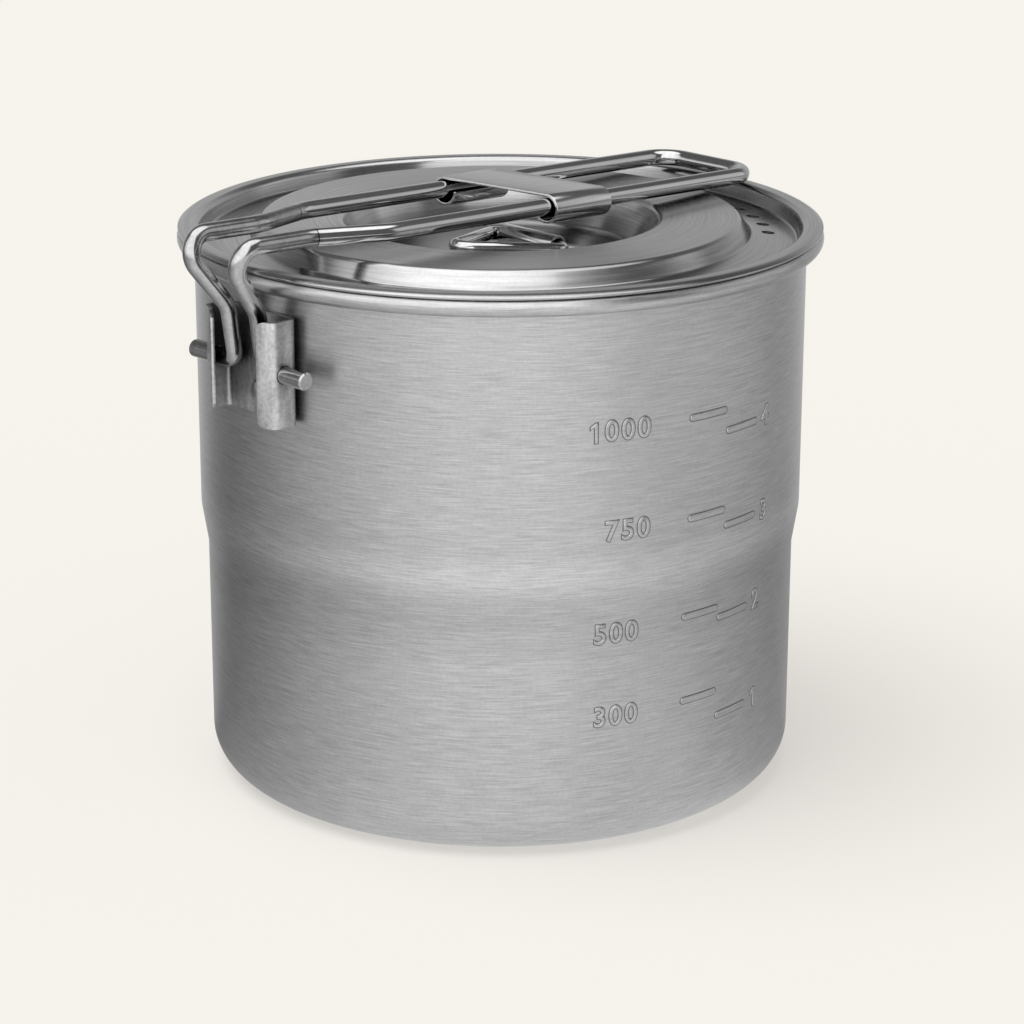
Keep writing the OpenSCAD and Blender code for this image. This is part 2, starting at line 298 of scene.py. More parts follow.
def cut(piece, cutters):
    """Cuts the cutters out of a piece and removes them."""
    for cutter in cutters:
        knife = piece.modifiers.new("cut", "BOOLEAN")
        knife.operation = "DIFFERENCE"
        knife.solver = "EXACT"
        knife.object = cutter
    apply_modifiers(piece)
    for cutter in cutters:
        bpy.data.objects.remove(cutter)


def soften(piece, width, segments=3, angle=40.0):
    """Rounds a piece's cut edges by a width in millimetres."""
    bevel = piece.modifiers.new("soften", "BEVEL")
    bevel.width = width * MM
    bevel.segments = segments
    bevel.limit_method = "ANGLE"
    bevel.angle_limit = math.radians(angle)
    apply_modifiers(piece)


def join_pieces(name, pieces):
    """Makes one piece of many."""
    with bpy.context.temp_override(active_object=pieces[0], selected_editable_objects=pieces):
        bpy.ops.object.join()
    pieces[0].name = name
    return pieces[0]


def lathe(name, outline, sides=LATHE_SIDES):
    """Turns an outline of radius and height about the pot's axis."""
    verts, rings = [], []
    for r, z in outline:
        if r < ON_AXIS:
            rings.append([len(verts)] * sides)
            verts.append((0, 0, z))
            continue
        rings.append(range(len(verts), len(verts) + sides))
        for k in range(sides):
            a = 2 * math.pi * k / sides
            verts.append((r * math.cos(a), r * math.sin(a), z))
    faces = []
    for lower, upper in zip(rings, rings[1:]):
        for k in range(sides):
            n = (k + 1) % sides
            face = list(dict.fromkeys((lower[k], lower[n], upper[n], upper[k])))
            if len(face) > 2:
                faces.append(face)
    return new_piece(name, verts, faces)


def bar(name, outline, length, place):
    """Runs a closed outline along a length; place turns its u, v and length into a point."""
    n = len(outline)
    verts = [place(u, v, w) for w in (-length / 2, length / 2) for u, v in outline]
    faces = [(k, (k + 1) % n, n + (k + 1) % n, n + k) for k in range(n)]
    faces += [tuple(range(n)), tuple(range(n, 2 * n))]
    return new_piece(name, verts, faces)


def tube(name, points, radius, sides, chamfers=None):
    """Round wire along points; chamfers are a length and a depth at each end, and a wire without them is closed."""
    closed = chamfers is None
    count = len(points)
    ways = []
    for i in range(count):
        a = points[i - 1] if closed or i else points[0]
        b = points[(i + 1) % count] if closed or i < count - 1 else points[-1]
        ways.append(unit(b - a))
    across = unit(ways[0].orthogonal())
    axes = []
    for way in ways:
        across = unit(across - way * across.dot(way))
        axes.append((across.copy(), way.cross(across)))
    rings = [(point, pair, radius) for point, pair in zip(points, axes)]
    if not closed:
        (start_length, start_depth), (end_length, end_depth) = chamfers
        rings[0] = (points[0] + ways[0] * start_length, axes[0], radius)
        rings[-1] = (points[-1] - ways[-1] * end_length, axes[-1], radius)
        rings.insert(0, (points[0], axes[0], radius - start_depth))
        rings.append((points[-1], axes[-1], radius - end_depth))
    verts = []
    for centre, (a, b), r in rings:
        for k in range(sides):
            t = 2 * math.pi * k / sides
            verts.append(centre + (a * math.cos(t) + b * math.sin(t)) * r)
    spans = len(rings) if closed else len(rings) - 1
    faces = []
    for i in range(spans):
        j = (i + 1) % len(rings)
        shift = seam_shift(rings[i], rings[j], sides) if closed and j == 0 else 0
        for k in range(sides):
            n = (k + 1) % sides
            faces.append((i * sides + k, i * sides + n,
                          j * sides + (n + shift) % sides, j * sides + (k + shift) % sides))
    if not closed:
        faces += [tuple(range(sides)), tuple(range((len(rings) - 1) * sides, len(rings) * sides))]
    return new_piece(name, verts, faces)


def seam_shift(ring, other, sides):
    """How many sides the last ring of a closed wire is turned against its first."""
    a, b = other[1]
    turn = math.atan2(ring[1][0].dot(b), ring[1][0].dot(a))
    return round(turn / (2 * math.pi) * sides)


def cylinder(name, centre, axis, radius, length, sides):
    """Plain cylinder for a cut."""
    half = Vector(axis) * length / 2
    return tube(name, [Vector(centre) - half, Vector(centre) + half], radius, sides, (CUT_CHAMFER, CUT_CHAMFER))


# Finishes

LINE_DETAIL = 3.0
CLOUD_DETAIL = 4.0
CLOUD_SHARE = 0.14
SPECK_SCALE = 1500.0
SPECK_DETAIL = 3.0
TONE_SPAN = (0.3, 0.7)
ROUGH_SPAN = (0.25, 0.75)
ROUGH_CHANGE = 0.15
# Occlusion values between which the painted shade fades in
PAINTED_SHADE_SPAN = (0.15, 0.8)
BAND_FADE_OUT = 3.0
BAND_FADE_IN = 2.0
BUMP_DEPTH = 0.02
BRUSH_TURN = 0.25


class Graph:
    """A new material's nodes, with short ways to write what is done to sockets and numbers."""

    def __init__(self, name):
        self.material = bpy.data.materials.new(name)
        self.material.use_nodes = True
        self.nodes = self.material.node_tree.nodes
        self.links = self.material.node_tree.links

    def add(self, kind, inputs=None):
        """New node with its inputs, each a value or a socket."""
        node = self.nodes.new("ShaderNode" + kind)
        self.feed(node, inputs or {})
        return node

    def feed(self, node, inputs):
        for key, value in inputs.items():
            if isinstance(value, bpy.types.NodeSocket):
                self.links.new(value, node.inputs[key])
            else:
                node.inputs[key].default_value = value

    def calc(self, operation, *values):
        node = self.add("Math", dict(enumerate(values)))
        node.operation = operation
        return node.outputs[0]

    def times(self, *values):
        """Product of two or more sockets or numbers."""
        product = values[0]
        for value in values[1:]:
            product = self.calc("MULTIPLY", product, value)
        return product

    def mix(self, a, b, share):
        """Sum of a and b in which b has a share."""
        return self.calc("ADD", self.times(a, 1 - share), self.times(b, share))

    def ramp(self, value, start, end, low, high, smooth=True):
        """Goes from low to high while value goes from start to end."""
        limits = {"From Min": start, "From Max": end, "To Min": low, "To Max": high}
        node = self.add("MapRange", {"Value": value, **limits})
        node.interpolation_type = "SMOOTHSTEP" if smooth else "LINEAR"
        return node.outputs["Result"]

    def angle_ramp(self, value, start, end, low, high, smooth=True):
        """The same for an angle, with its limits in degrees."""
        return self.ramp(value, math.radians(start), math.radians(end), low, high, smooth)

    def place(self):
        """Coordinates of an object's own points, in metres."""
        return self.add("TexCoord").outputs["Object"]

    def axes(self):
        """The same coordinates, one by one."""
        split = self.add("SeparateXYZ", {"Vector": self.place()})
        return [split.outputs[axis] for axis in "XYZ"]

    def from_axis(self):
        """Distance from the axis, in metres."""
        x, y, _ = self.axes()
        return self.calc("SQRT", self.calc("ADD", self.times(x, x), self.times(y, y)))

    def around(self, middle, start, end, inside, outside, smooth=True, from_x=0.0):
        """Goes from inside to outside between two angles on either side of a direction.

        The direction is in degrees to the right of -Y, seen from the axis or from a place beside it.
        """
        x, y, _ = self.axes()
        if from_x:
            x = self.calc("SUBTRACT", x, from_x * MM)
        a = math.radians(middle)
        ahead = self.calc("SUBTRACT", self.times(x, math.sin(a)), self.times(y, math.cos(a)))
        aside = self.calc("ADD", self.times(x, math.cos(a)), self.times(y, math.sin(a)))
        off = self.calc("ABSOLUTE", self.calc("ARCTAN2", aside, ahead))
        return self.angle_ramp(off, start, end, inside, outside, smooth)

    def mapped(self, vector, scale):
        return self.add("Mapping", {"Vector": vector, "Scale": scale}).outputs["Vector"]

    def noise(self, vector, scale, detail):
        return self.add("TexNoise", {"Vector": vector, "Scale": scale, "Detail": detail}).outputs["Fac"]

    def scaled(self, colour, factor):
        """A colour times a factor."""
        node = self.add("VectorMath")
        node.operation = "SCALE"
        self.feed(node, {0: colour, "Scale": factor})
        return node.outputs["Vector"]


def stretched(*scale):
    """Coordinates of brush lines: a large scale makes short steps along that axis."""
    return lambda graph: graph.mapped(graph.place(), scale)


def round_lines(across, along):
    """Coordinates of brush lines that run round the pot's axis, on flats and on walls alike."""
    def build(graph):
        x, y, z = graph.axes()
        joined = graph.add("CombineXYZ", {"X": x, "Y": y, "Z": graph.calc("ADD", graph.from_axis(), z)})
        return graph.mapped(joined.outputs["Vector"], (along, along, across))
    return build


def steel(name, base, rough, lines, clouds, contrast, relief,
          anisotropic=0.0, specks=0.0, painted_shade=None, painted_bands=(), painted_sectors=()):
    """Steel whose tone, gloss and relief follow brush lines and slow cloudy changes.

    base and rough are its middle tone and roughness; lines makes the coordinates of the brush lines; clouds is
    how many changes there are in a metre; contrast is how far the tone goes up and down; specks is the share of
    small pits. painted_shade is how much painted shade darkens it where other surfaces are close, in crevices and
    under other parts, and how far that reaches; painted_bands are lower and upper heights and the brightness
    between them, for a painted highlight or painted shade; painted_sectors are directions from the axis, half
    widths and changes of tone, for painted reflections.
    """
    graph = Graph(name)
    shader = graph.nodes["Principled BSDF"]
    grain = graph.mix(graph.noise(lines(graph), 1.0, LINE_DETAIL),
                      graph.noise(graph.place(), clouds, CLOUD_DETAIL), CLOUD_SHARE)
    if specks:
        grain = graph.mix(grain, graph.noise(graph.place(), SPECK_SCALE, SPECK_DETAIL), specks)
    tone = graph.add("ValToRGB", {"Fac": grain})
    for element, position, change in zip(tone.color_ramp.elements, TONE_SPAN, (-contrast, contrast)):
        element.position = position
        element.color = (base * (1 + change),) * 3 + (1,)
    colour = tone.outputs["Color"]
    # Painted shade: the colour is darkened where ambient occlusion finds other surfaces close by, in crevices and
    # under other parts.
    if painted_shade:
        depth, reach = painted_shade
        hollow = graph.add("AmbientOcclusion", {"Distance": reach * MM})
        colour = graph.scaled(colour, graph.ramp(hollow.outputs["AO"], *PAINTED_SHADE_SPAN, 1 - depth, 1.0, smooth=False))
    # Painted highlight and painted shade: bands of height whose colour is made lighter or darker.
    for low, high, bright in painted_bands:
        z = graph.axes()[2]
        above = graph.ramp(z, (low - BAND_FADE_OUT) * MM, (low + BAND_FADE_IN) * MM, 0.0, bright - 1)
        below = graph.ramp(z, (high - BAND_FADE_IN) * MM, (high + BAND_FADE_OUT) * MM, 1.0, 0.0)
        colour = graph.scaled(colour, graph.calc("ADD", graph.times(above, below), 1.0))
    # Painted reflections: sectors round the axis whose colour is made lighter or darker.
    for middle, width, change in painted_sectors:
        colour = graph.scaled(colour, graph.around(middle, 0, width, 1 + change, 1.0))
    gloss = graph.ramp(grain, *ROUGH_SPAN, rough * (1 - ROUGH_CHANGE), rough * (1 + ROUGH_CHANGE), smooth=False)
    bump = graph.add("Bump", {"Strength": relief, "Distance": BUMP_DEPTH * MM, "Height": grain})
    graph.feed(shader, {"Metallic": 1.0, "Base Color": colour, "Roughness": gloss, "Normal": bump.outputs["Normal"]})
    if anisotropic:
        tangent = graph.add("Tangent")
        tangent.direction_type = "RADIAL"
        tangent.axis = "Z"
        graph.feed(shader, {"Anisotropic": anisotropic, "Anisotropic Rotation": BRUSH_TURN,
                            "Tangent": tangent.outputs["Tangent"]})
    return graph.material


# Painted light and shade on the wall and the lid, as bands and sectors of steel(): a painted highlight just above
# the step, painted shade below it and in the lid's recess, and painted reflections in sectors round the lid
STEP_GLINT = (STEP_TOP - 1.5, STEP_TOP + 4.5, 1.15)
STEP_SHADE = (STEP_BOTTOM - 6, STEP_BOTTOM + 3, 0.93)
RECESS_SHADE = (95, bead_top - 4, 0.5)
LID_PAINTED_REFLECTIONS = ((-56, 26, 0.16), (-17, 24, -0.28), (45, 70, -0.2))

# The lid, the handle, the bracket and the clip get painted shade where other surfaces are close.
wall_steel = steel("wall_steel", base=0.56, rough=0.36, lines=stretched(170, 170, 5000), clouds=35, contrast=0.24,
                   relief=0.25, anisotropic=0.5, specks=0.2, painted_bands=(STEP_GLINT, STEP_SHADE))
lid_steel = steel("lid_steel", base=0.55, rough=0.20, lines=round_lines(4200, 50), clouds=30, contrast=0.26,
                  relief=0.14, anisotropic=0.8, specks=0.12, painted_shade=(0.66, 16), painted_bands=(RECESS_SHADE,),
                  painted_sectors=LID_PAINTED_REFLECTIONS)
grip_steel = steel("grip_steel", base=0.60, rough=0.10, lines=stretched(60, 1800, 1800), clouds=90, contrast=0.10,
                   relief=0.06, painted_shade=(0.75, 7))
leg_steel = steel("leg_steel", base=0.50, rough=0.17, lines=stretched(300, 300, 300), clouds=160, contrast=0.24,
                  relief=0.3, specks=0.35, painted_shade=(0.8, 13))
bracket_steel = steel("bracket_steel", base=0.60, rough=0.40, lines=stretched(500, 500, 90), clouds=260,
                      contrast=0.46, relief=0.5, specks=0.35, painted_shade=(0.78, 16))
rivet_steel = steel("rivet_steel", base=0.62, rough=0.30, lines=stretched(500, 500, 500), clouds=300, contrast=0.16,
                    relief=0.3, specks=0.3)
clip_steel = steel("clip_steel", base=0.62, rough=0.15, lines=stretched(80, 1500, 1500), clouds=120, contrast=0.10,
                   relief=0.12, painted_shade=(0.4, 7))
# Near-black steel for painted shade, in the steam holes and in the creases round the marks.
painted_shade_steel = steel("painted_shade_steel", base=0.20, rough=0.45, lines=stretched(300, 300, 300), clouds=90, contrast=0.2,
                   relief=0.2)


def dress(piece, material, body, slot, *nodes):
    """Gives a piece its finish and its body, and hides the CAD nodes that it stands for."""
    piece.data.materials.clear()
    piece.data.materials.append(material)
    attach(piece, body)
    if nodes:
        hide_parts(*nodes)


# Pot and lid

STEEP = 0.3
VENT_MARGIN = 0.05


def bead_side():
    """Radius of the middle of the rolled rim's outer bend."""
    return POT_RADIUS + BEAD_RADIUS - SHEET + BEAD_FLAT


def make_pot():
    mid = POT_RADIUS - SHEET / 2
    lower = LOWER_RADIUS - SHEET / 2
    curl = BEAD_RADIUS - SHEET / 2
    side = bead_side()
    path = [
        (0, SHEET / 2), (lower, SHEET / 2), (lower, STEP_BOTTOM), (mid, STEP_TOP),
        (mid, rim_height + curl), (side + curl, rim_height + curl),
        (side + curl, rim_height - curl), (side, rim_height - curl),
    ]
    bends = [BASE_CORNER - SHEET / 2, STEP_BEND, STEP_BEND] + [curl * TIGHT] * 3
    outline = sheet_section(path, bends, SHEET, round_start=False)
    dress(lathe("pot_shell", outline), wall_steel, "pot_body", "pot_steel", "pot")


def make_lid():
    """The lid; the inner faces of its steam holes are dark with painted shade."""
    half = SHEET / 2
    rim = lid_rim_top - half
    curl = math.radians(RIM_CURL)
    over = rim - rim_height
    edge = Vector((bead_side(), rim_height)) + over * Vector((math.sin(curl), math.cos(curl)))
    edge += RIM_EDGE * Vector((math.cos(curl), -math.sin(curl)))
    foot = POT_RADIUS - SHEET - LID_SIDE_GAP - half
    channel = rim - CHANNEL_DEPTH
    plateau = rim + PLATEAU_RISE
    plateau_foot = foot - CHANNEL_WIDTH
    floor = plateau - RECESS_DEPTH
    path = [
        (0, floor), (RECESS_RADIUS - RECESS_LEAN, floor), (RECESS_RADIUS, plateau),
        (plateau_foot - PLATEAU_LEAN, plateau), (plateau_foot, channel + CHANNEL_RISE), (foot, channel),
        (foot + RIM_WALL_LEAN, rim), (bead_side() + over * math.tan(curl / 2), rim), tuple(edge),
    ]
    lid = lathe("lid_shell", sheet_section(path, LID_BENDS + (over,), SHEET, round_start=False))
    vent_radius = (foot + plateau_foot) / 2 - 2 * SHEET
    vents = []
    for i in range(VENT_COUNT):
        a = math.radians(VENT_DIRECTION + (i - (VENT_COUNT - 1) / 2) * VENT_PITCH)
        vents.append(Vector((vent_radius * math.cos(a), vent_radius * math.sin(a), channel)))
    cut(lid, [cylinder("vent", vent, (0, 0, 1), VENT_D / 2, VENT_CUT, VENT_SIDES) for vent in vents])
    dress(lid, lid_steel, "lid_body", "lid_steel", "lid")
    # Painted shade: the inner faces of the steam holes take the near-black steel.
    lid.data.materials.append(painted_shade_steel)
    for face in lid.data.polygons:
        near = min((vent.xy - face.center.xy / MM).length for vent in vents)
        if abs(face.normal.z) < STEEP and near < VENT_D / 2 + VENT_MARGIN:
            face.material_index = 1


# Handle and clip

knee_x = pin.x - KNEE_REACH
grip_end_x = lid_edge - GRIP_INSET


def grip_height(x):
    """Height of the arms' centre line."""
    rise = (grip_end_x - x) * GRIP_RISE / (grip_end_x - knee_x)
    return lid_rim_top + GRIP_REST_GAP + WIRE / 2 + rise


def handle_side(side):
    """Corners of one side of the handle, from the pin's tip to the end of the grip."""
    spread_x = knee_x + SPREAD_START
    wide_x = spread_x + SPREAD_LENGTH
    corners = [
        (pin.x, PIN_SPAN / 2, pin.z),
        (pin.x, LEG_SPACING / 2, pin.z),
        (pin.x - LEG_LEAN, LEG_SPACING / 2, pin.z + LEG_STRAIGHT),
        (knee_x, KNEE_SPACING / 2, grip_height(knee_x)),
        (spread_x, KNEE_SPACING / 2, grip_height(spread_x)),
        (wide_x, GRIP_SPACING / 2, grip_height(wide_x)),
        (grip_end_x, GRIP_SPACING / 2, grip_height(grip_end_x)),
    ]
    return [Vector((x, side * y, z)) for x, y, z in corners]


def split_at(points, x):
    """Two stretches of a line that crosses a plane of constant x once."""
    for i, (a, b) in enumerate(zip(points, points[1:])):
        if (a.x - x) * (b.x - x) <= 0 and a.x != b.x:
            weld = a.lerp(b, (x - a.x) / (b.x - a.x))
            return points[:i + 1] + [weld], [weld] + points[i + 1:]
    raise ValueError("the line doesn't cross the weld")


def make_handle():
    whole = handle_side(-1) + handle_side(1)[::-1]
    line = bent_line(whole, HANDLE_BENDS + HANDLE_BENDS[::-1], WIRE_ARC_STEP, WIRE_SPACING)
    right, rest = split_at(line, knee_x + RIGHT_WELD)
    left, loop = split_at(rest[::-1], knee_x + LEFT_WELD)
    for side, points in (("right", right), ("left", left)):
        leg = tube("leg_" + side, points, WIRE / 2, WIRE_SIDES, (PIN_CHAMFER, WELD_GROOVE))
        dress(leg, leg_steel, "handle", "leg_steel", "handle_leg_" + side)
    dress(tube("grip_loop", loop, WIRE / 2, WIRE_SIDES, (WELD_GROOVE, WELD_GROOVE)),
          grip_steel, "handle", "loop_steel", "handle_loop")


def make_clip():
    curl = WIRE / 2 + CLIP_GAP + SHEET / 2
    out = GRIP_SPACING / 2
    path = mirrored([(out - curl, 0), (out - curl, -curl), (out + curl, -curl), (out + curl, curl)])
    outline = sheet_section(path, [curl * TIGHT] * 6, SHEET)
    way = unit(Vector((1, 0, grip_height(CLIP_X + 1) - grip_height(CLIP_X))))
    up = Vector((-way.z, 0, way.x))
    centre = Vector((CLIP_X, 0, grip_height(CLIP_X))) - up * CLIP_DROP
    skew = math.tan(math.radians(CLIP_SKEW))
    clip = bar("clip", outline, CLIP_LENGTH,
               lambda u, v, w: centre + way * (w - u * skew) + Vector((0, u, 0)) + up * v)
    soften(clip, SHEET_EDGE)
    dress(clip, clip_steel, "clip", "clip_steel", "slide_clip")


# Bracket and rivets

def make_bracket():
    back = POT_RADIUS + BRACKET_SEAT
    wall = bracket_high.y - BRACKET_SHEET / 2
    base = back + BRACKET_SHEET / 2
    lip = back + BRACKET_DEPTH - BRACKET_SHEET / 2
    height = bracket_high.z - bracket_low.z
    edge = LEG_SPACING / 2 + WIRE / 2 + LIP_GAP
    path = mirrored([(edge, lip + LIP_FLARE), (wall, lip), (wall, base)])
    outline = sheet_section(path, [BRACKET_BEND] * 4, BRACKET_SHEET)
    bracket = bar("bracket", outline, height, lambda u, v, w: (-v, u, pin.z + w))
    cutters = [cylinder("pin_hole", (pin.x, 0, pin.z), (0, 1, 0), PIN_HOLE / 2, PIN_HOLE_CUT, PIN_HOLE_SIDES)]
    for side in (-1, 1):
        for end in (-1, 1):
            cutters.append(lip_corner_cut(side, end, edge, lip, height))
    cut(bracket, cutters)
    soften(bracket, SHEET_EDGE)
    dress(bracket, bracket_steel, "pot_body", "bracket_steel", "handle_bracket")


def lip_corner_cut(side, end, edge, lip, height):
    """What is cut away to round a free corner of a lip."""
    top = height / 2
    centre = (edge + LIP_CORNER, top - LIP_CORNER)
    outline = [(edge - LIP_CUT_OVER, top + LIP_CUT_OVER), (edge - LIP_CUT_OVER, centre[1])]
    outline += arc(centre, LIP_CORNER, 180, 90, ROUND_STEPS)
    outline.append((centre[0], top + LIP_CUT_OVER))
    middle = lip + LIP_FLARE / 2
    return bar("lip_cut", outline, 2 * (LIP_FLARE + 2 * BRACKET_SHEET),
               lambda u, v, w: (-middle + w, side * u, pin.z + end * v))


def rivet_head(height, edge):
    """Outline of a rivet's head, with a round edge, a slight dome and a foot a little way into the sheet."""
    r = RIVET_HEAD / 2
    foot = [(0, -RIVET_SINK), (r - RIVET_SINK / 2, -RIVET_SINK), (r, 0)]
    bend = arc((r - edge, height - RIVET_EDGE_DROP * edge), edge, 0, 90, RIVET_EDGE_STEPS)
    return foot + bend + [(r * RIVET_TOP_SHARE, height), (0, height + RIVET_DOME)]


def make_rivets():
    """Outer heads on the bracket, and inner heads of half their height on the inside of the wall."""
    outside = POT_RADIUS + BRACKET_SEAT + BRACKET_SHEET
    inside = math.sqrt((POT_RADIUS - SHEET) ** 2 - (RIVET_HEAD / 2) ** 2) - BRACKET_SEAT
    heads = []
    for side in (-1, 1):
        for reach, turn, share in ((outside, -90, 1), (inside, 90, 0.5)):
            head = lathe("rivet", rivet_head(RIVET_HEAD_H * share, RIVET_EDGE * share), RIVET_SIDES)
            place = Matrix.Translation(Vector((-reach, 0, pin.z + side * RIVET_SPACING / 2)) * MM)
            head.data.transform(place @ Matrix.Rotation(math.radians(turn), 4, "Y"))
            heads.append(head)
    dress(join_pieces("rivets", heads), rivet_steel, "pot_body", "rivet_steel", "bracket_rivets")


# Ring and saddle

def make_saddle():
    mid = RING_WIRE / 2 + SADDLE_GAP + SHEET / 2
    foot = corners_mm("ring_saddle")[0].z + SHEET / 2
    path = mirrored([(-mid - SADDLE_FOOT, foot), (-mid, foot), (-mid, ring_hinge.z + mid)])
    outline = sheet_section(path, [SADDLE_BEND, mid * TIGHT, mid * TIGHT, SADDLE_BEND], SHEET)
    saddle = bar("saddle", outline, SADDLE_LENGTH, lambda u, v, w: (ring_hinge.x + u, w, v))
    soften(saddle, SADDLE_EDGE)
    dress(saddle, clip_steel, "lid_body", "saddle_steel", "ring_saddle")


def make_ring():
    out = RING_WIDTH / 2
    corners = ((0, 0, 0), (0, out, 0), (-RING_LENGTH, 0, 0), (0, -out, 0), (0, 0, 0))
    line = bent_line([Vector(corner) for corner in corners], RING_BENDS, RING_ARC_STEP, RING_SPACING)[:-1]
    tilt = Matrix.Rotation(math.radians(RING_TILT), 3, "Y")
    ring = tube("ring", [ring_hinge + tilt @ point for point in line], RING_WIRE / 2, RING_SIDES)
    dress(ring, grip_steel, "ring", "ring_steel", "lid_ring")


# Marks pressed out of the wall: plain numbers and lines, in millimetres and in degrees round the wall

# Number, angle of its last digit, height of the number and height of its line
LITRE_MARKS = (
    ("1000", -106.87, 86.65, 87.0), ("750", -106.73, 66.75, 66.85),
    ("500", -108.2, 45.55, 46.3), ("300", -108.1, 28.5, 28.8),
)
CUP_MARKS = (("4", -76.3, 82.8, 82.7), ("3", -76.1, 63.4, 63.5), ("2", -76.0, 44.4, 44.1), ("1", -76.0, 23.6, 23.4))
LITRE_LINE = (-97.3, -88.2)
CUP_LINE = (-88.3, -79.1)
DIGIT_HEIGHT = 4.1
DIGIT_TOP = DIGIT_HEIGHT / 2
DIGIT_PITCH = 3.13
DIGIT_SWELL = 0.14
FONT_HEIGHT_SHARE = 0.72
LINE_WIDTH = 1.4
# A figure one with a flag, which the font lacks: each corner's place, and its way out when the figure swells
FIGURE_ONE = (
    (-0.1, -DIGIT_TOP, -1, -1), (0.65, -DIGIT_TOP, 1, -1), (0.65, DIGIT_TOP, 1, 1), (0.1, DIGIT_TOP, -0.5, 1),
    (-0.95, DIGIT_TOP - 0.75, -1, 0.5), (-0.95, DIGIT_TOP - 1.5, -1, -1), (-0.1, DIGIT_TOP - 0.95, -1, -1),
)
# How far the marks swell, how far they stand out and how far their edges are rounded; and the same for the painted
# shade of the creases at their feet, a thin dark copy of each mark that is a little wider than it
RAISED = {"swell": -0.05, "relief": 0.18, "edge": 0.13}
CREASE_SHADE = {"swell": 0.12, "relief": 0.03, "edge": 0.02}
MARK_BEVEL_STEPS = 2
MARK_BEVEL_ANGLE = 30.0
MARK_SHARP = 50.0
LONGEST_EDGE = 0.8
SPLIT_PASSES = 3


def wall_radius(z):
    """Outer radius of the wall at a height."""
    share = min(max((z - STEP_BOTTOM) / (STEP_TOP - STEP_BOTTOM), 0), 1)
    return LOWER_RADIUS + (POT_RADIUS - LOWER_RADIUS) * share


def on_wall(piece, angle, z):
    """Wraps a flat piece round the wall: its X runs along the wall, its Z stands out of it."""
    radius = wall_radius(z)
    for vert in piece.data.vertices:
        along, up, out = vert.co / MM
        a = math.radians(angle) + along / radius
        reach = radius + out
        vert.co = Vector((reach * math.cos(a), reach * math.sin(a), z + up)) * MM
    finish_mesh(piece, MARK_SHARP)


def split_long_edges(piece):
    """Splits long faces so that a piece can bend round the wall."""
    bm = bmesh.new()
    bm.from_mesh(piece.data)
    bmesh.ops.triangulate(bm, faces=bm.faces)
    for _ in range(SPLIT_PASSES):
        long = [e for e in bm.edges if e.calc_length() > LONGEST_EDGE * MM]
        bmesh.ops.subdivide_edges(bm, edges=long, cuts=1)
        bmesh.ops.triangulate(bm, faces=bm.faces)
    bm.to_mesh(piece.data)
    bm.free()


def press_shape(outline, angle, z, relief, edge):
    """A shape with a closed outline, pressed out of the wall."""
    shape = bar("wall_shape", outline, 2 * relief, lambda u, v, w: (u, v, w))
    soften(shape, edge, MARK_BEVEL_STEPS, MARK_BEVEL_ANGLE)
    split_long_edges(shape)
    on_wall(shape, angle, z)
    return shape


def press_line(first, last, z, swell, relief, edge):
    """A line with round ends, pressed out of the wall."""
    half = math.radians(last - first) * wall_radius(z) / 2 + swell
    r = LINE_WIDTH / 2 + swell
    end = arc((half - r, 0), r, -90, 90, ROUND_STEPS)
    outline = [(way * u, way * v) for way in (1, -1) for u, v in end]
    return press_shape(outline, (first + last) / 2, z, relief, edge)


def press_digit(digit, angle, z, swell, relief, edge):
    """A plain digit, pressed out of the wall."""
    if digit == "1":
        outline = [(u + out_u * swell, v + out_v * swell) for u, v, out_u, out_v in FIGURE_ONE]
        return press_shape(outline, angle, z, relief, edge)
    text = bpy.data.curves.new("digit", "FONT")
    text.body = digit
    text.align_x = "CENTER"
    text.align_y = "CENTER"
    text.size = DIGIT_HEIGHT / FONT_HEIGHT_SHARE * MM
    text.extrude = (relief - edge) * MM
    text.bevel_depth = edge * MM
    text.bevel_resolution = 1
    text.offset = (DIGIT_SWELL + swell - edge) * MM
    shape = add_object("digit", text)
    bpy.context.view_layer.update()
    mesh = made_mesh(shape)
    bpy.data.objects.remove(shape)
    piece = add_object("digit", mesh)
    on_wall(piece, angle, z)
    return piece


def make_marks(name, material, press):
    """All numbers and lines as one piece."""
    pieces = []
    for marks, (first, last) in ((LITRE_MARKS, LITRE_LINE), (CUP_MARKS, CUP_LINE)):
        for number, end, z, line_z in marks:
            pieces.append(press_line(first, last, line_z, **press))
            for k, digit in enumerate(reversed(number)):
                pieces.append(press_digit(digit, end - k * DIGIT_PITCH, z, **press))
    dress(join_pieces(name, pieces), material, "pot_body", "pot_steel")


# Stage: pale floor, soft light, and the camera where the photograph was taken from

VIEW_TURN = -42.9
CAMERA_DISTANCE = 628.6
CAMERA_HEIGHT = 256.1
CAMERA_PITCH = 18.0
CAMERA_PAN = 0.223
CAMERA_ROLL = 0.138
LENS = 111.25
SENSOR_WIDTH = 36.0

BACKGROUND = (0.913, 0.888, 0.847, 1.0)
WORLD_GLOW = 0.6
FLOOR_PAPER = (0.42, 0.408, 0.39, 1.0)
FLOOR_GLOW = 0.53
FLOOR_HALF = 6000
LAMP_PLACE = (-350, -150, 1000)
LAMP_SPREAD = 50.0
LAMP_POWER = 1.7

# What the steel mirrors: a card just above the floor and a dome over it
CARD_HALF = 1500
CARD_LIFT = 0.2
DOME_RADIUS = 1500
DOME_RINGS = 12
DOME_SIDES = 48
ROOM_TONE = 0.13
SOFTBOX_TONE = 1.45
PANEL_TONE = 0.45
BACK_TONE = 0.36
# Distance from the axis of the two edges of the wall as the camera sees them, and what is added behind them
WALL_EDGE = 58
EDGE_TONES = ((-1, 0.58), (1, 0.40))


